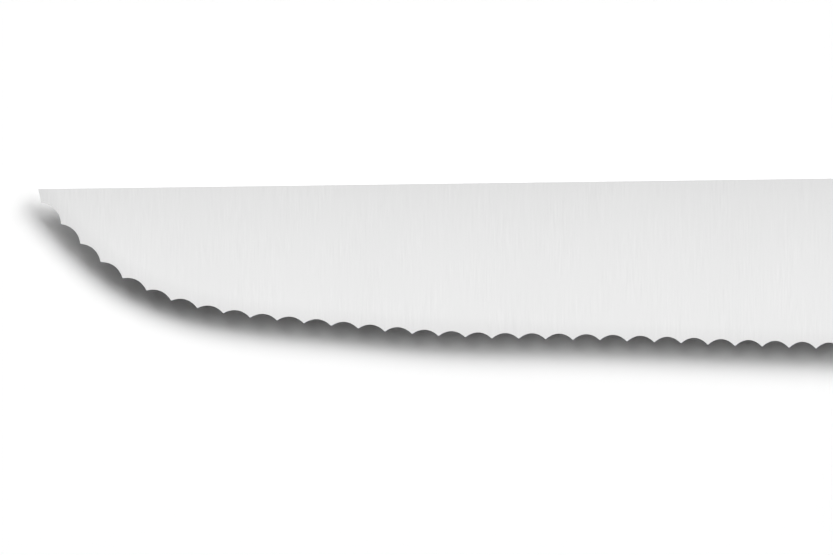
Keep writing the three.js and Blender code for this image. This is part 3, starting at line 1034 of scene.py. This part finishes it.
def rivet_steel():
    """Rivet heads, sanded flush together with the scales."""
    material, tree = new_finish("rivet steel")
    sanding = grain(tree, RIVET_SANDING, detail=3.0)
    cloud = grain(tree, RIVET_CLOUD, detail=2.0, shift=4.0)
    end_finish(tree, {
        "Base Color": toned(tree, RIVET_TONES, sanding * 0.7 + cloud * 0.3),
        "Metallic": 1.0,
        "Roughness": RIVET_ROUGHNESS + uneven(sanding, by=0.2) + uneven(cloud, by=0.1),
        "Normal": bumped(tree, sanding, RIVET_SANDING_DEPTH),
    })
    return material


# Pieces


def finish_piece(piece, slot, *nodes):
    """Makes what the modifiers give the piece's own mesh, with its large flat faces kept flat where they
    run into rounded edges, attaches it to the root body and hides the nodes that it stands for."""
    weights = piece.modifiers.new("weigh normals", "WEIGHTED_NORMAL")
    weights.mode = "FACE_AREA"
    weights.keep_sharp = True
    graph = bpy.context.evaluated_depsgraph_get()
    mesh = bpy.data.meshes.new_from_object(piece.evaluated_get(graph), depsgraph=graph)
    piece.modifiers.clear()
    piece.data = mesh
    mesh.name = piece.name
    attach(piece, "root")
    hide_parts(*nodes)


def drill(piece, drilling, head_radius, head_shift, finish):
    add_tree(piece, drilling, {
        **rivet_row,
        "Shank Radius": shank_hole,
        "Head Radius": head_radius,
        "Head Shift": Vector((0, 0, head_shift)),
        "Depth": drill_length,
        "Sides": RIVET_SIDES,
        "Finish": finish,
    })


def make_blade(drilling, flat_finish, edge_finish, hollow_finish):
    """Blade, neck and tang: a blank that is ground flat, drilled for the rivets and scalloped."""
    piece = plate("ground_blade", blank_patch(), [
        (1, face_level, eased_profile),
        (-1, lambda place: -face_level(place), eased_profile),
    ])
    drill(piece, drilling, shank_hole, 0.0, flat_finish)
    point, point_pull, heel_pull, end = edge_handles(0.0)
    sag = SCALLOP_DEPTH * math.sin(SCALLOP_BEVEL)
    add_tree(piece, scallop_tree(), {
        "Point": on_ground(point),
        "Point Pull": on_ground(point_pull),
        "Heel Pull": on_ground(heel_pull),
        "Heel": on_ground(end),
        "First Hollow": FIRST_TOOTH + SCALLOP_PITCH / 2,
        "Pitch": SCALLOP_PITCH,
        "Hollows": int((tooth_line_length() - HEEL_LAND - FIRST_TOOTH) / SCALLOP_PITCH),
        "Sag": sag,
        "First Bevel": POINT_BEVEL,
        "Last Bevel": LAST_BEVEL,
        "Sway Height": SWAY_HEIGHT,
        "Sway Length": SWAY_LENGTH,
        "Sway Crest": SWAY_CREST,
        "Sway Middle": SWAY_MIDDLE,
        "Sway Spread": SWAY_SPREAD,
        "Wheel Radius": ((SCALLOP_PITCH / 2) ** 2 + sag ** 2) / (2 * sag),
        "Wheel Width": WHEEL_WIDTH,
        "Wheel Sides": WHEEL_SIDES,
        "Face Height": heel.z + tang_face - fall_along * heel.x - fall_across * heel.y,
        "Fall Along": fall_along,
        "Fall Across": fall_across,
        "Early Shift": EARLY_SHIFT,
        "Early Depth": EARLY_DEPTH,
        "Early Fade": EARLY_FADE,
        "Wander Along": WANDER_ALONG,
        "Wander Depth": WANDER_DEPTH,
        "Seed": WANDER_SEED,
        "Flat Finish": flat_finish,
        "Edge Finish": edge_finish,
        "Hollow Finish": hollow_finish,
    })
    finish_piece(piece, "blade_steel", "blade")


def mark_rounding(piece):
    """Writes on a scale's points how far up its rounded edge they lie: most in the middle of it."""
    rounding = piece.data.attributes.new("rounding", "FLOAT", "POINT")
    for vertex, entry in zip(piece.data.vertices, rounding.data):
        drop = scale_face - abs(vertex.co.z - heel.z)
        share = min(1.0, max(0.0, drop / SCALE_ROUND_DEPTH))
        entry.value = math.sin(math.pi * share)


def make_scale(name, direction, node, drilling, finish):
    """Handle scale on the side of a direction, up or down, with stepped holes for the rivets."""
    outside = (direction, lambda place: direction * scale_face, rounded_profile)
    seam = (-direction, lambda place: direction * tang_face, seam_profile)
    piece = plate(name, scale_patch(), [outside, seam] if direction > 0 else [seam, outside])
    mark_rounding(piece)
    head_shift = direction * (rivet_seat + drill_length / 2)
    drill(piece, drilling, head_hole, head_shift, finish)
    finish_piece(piece, "handle_resin", node)


def make_rivets(name, profile, setting, finish, half):
    """One half of all three rivets."""
    piece = turned(name, profile)
    add_tree(piece, setting, {**rivet_row, "Finish": finish})
    finish_piece(piece, "rivet_steel", *(f"{where}_rivet_{half}" for where in RIVET_NAMES))


# Stage, light and camera


def make_floor():
    material, tree = new_finish("white floor")
    end_finish(tree, {"Base Color": WHITE, "Roughness": 1.0, "Specular IOR Level": 0.0})
    level = cad_box[0].z - FLOOR_GAP
    ways = ((-1, -1), (1, -1), (1, 1), (-1, 1))
    corners = [(x * FLOOR_REACH, y * FLOOR_REACH, level) for x, y in ways]
    floor = new_piece("floor", corners, [(0, 1, 2, 3)])
    floor.data.materials.append(material)


def make_lamps():
    """Soft lamps in an arc behind the spine, from the butt's side to the point's, with the brightest
    in its middle."""
    shares = [math.sin(math.pi * (number + 0.5) / ARC_LAMPS) for number in range(ARC_LAMPS)]
    for number, angle in enumerate(spread(ARC_START, ARC_END, ARC_LAMPS - 1)):
        lean = ARC_MIDDLE + ARC_REACH * Vector((math.cos(angle), math.sin(angle)))
        towards = Vector((*lean, 1)).normalized()
        data = bpy.data.lights.new(f"soft_lamp_{number}", "SUN")
        data.angle = LAMP_ANGLE
        data.energy = LAMP_LEVEL * shares[number] / sum(shares) * math.pi / towards.z
        lamp = bpy.data.objects.new(data.name, data)
        lamp.rotation_euler = towards.to_track_quat("Z", "Y").to_euler()
        lamp.visible_glossy = False
        bpy.context.scene.collection.objects.link(lamp)


def make_room():
    """A white room: the camera sees it white, what is glossy or clear sees its ceiling white and its
    walls darker towards their foot, and the light that it sheds is dim."""
    world = bpy.data.worlds.new("white room")
    bpy.context.scene.world = world
    world.use_nodes = True
    world.cycles.sampling_method = "NONE"
    tree = world.node_tree
    tree.nodes.clear()
    path = Wire.make(tree, "ShaderNodeLightPath", output="Is Camera Ray")
    mirrored = Wire.work("MAXIMUM", path.out("Is Glossy Ray"), path.out("Is Transmission Ray"))
    seen = Wire.work("MAXIMUM", path, mirrored)
    way = Wire.make(tree, "ShaderNodeTexCoord", output="Generated")
    height = Wire.make(tree, "ShaderNodeSeparateXYZ", sockets={0: way}).out("Z")
    wall = eased(tree, height, start=ROOM_BOTTOM, end=ROOM_TOP, first=WALL_LEVEL, last=1.0)
    level = Wire.work("MAXIMUM", path, wall)
    dim = Wire.make(tree, "ShaderNodeBackground", sockets={"Color": WHITE, "Strength": SHADE_LEVEL})
    white = Wire.make(tree, "ShaderNodeBackground", sockets={"Color": WHITE, "Strength": level})
    both = Wire.make(tree, "ShaderNodeMixShader", sockets={0: seen, 1: dim, 2: white})
    Wire.make(tree, "ShaderNodeOutputWorld", sockets={"Surface": both})


def make_camera():
    """Looks straight down on the blade, with the photograph's pixels on its left face."""
    column, row = IMAGE_WIDTH / 2, IMAGE_HEIGHT / 2
    aim = Vector(((column - HEEL_COLUMN) * PIXEL, (SPINE_ROW - row) * PIXEL))
    data = bpy.data.cameras.new("camera")
    data.lens = FOCAL_LENGTH
    data.sensor_fit = "HORIZONTAL"
    data.sensor_width = SENSOR_WIDTH
    distance = IMAGE_WIDTH * PIXEL * FOCAL_LENGTH / SENSOR_WIDTH
    camera = bpy.data.objects.new("camera", data)
    camera.location = in_frame(aim, face_level(aim) + distance)
    bpy.context.scene.collection.objects.link(camera)
    bpy.context.scene.camera = camera


drilling = drill_tree()
make_blade(drilling, flat_ground_steel(), edge_ground_steel(), hollow_ground_steel())
resin = black_acetal()
make_scale("left_handle_scale", 1, "left_scale", drilling, resin)
make_scale("right_handle_scale", -1, "right_scale", drilling, resin)
setting = rivet_tree()
steel = rivet_steel()
make_rivets("rivet_sockets", socket_profile(), setting, steel, "socket")
make_rivets("rivet_pins", pin_profile(), setting, steel, "pin")
make_floor()
make_lamps()
make_room()
make_camera()
bpy.context.scene.view_settings.view_transform = "Standard"
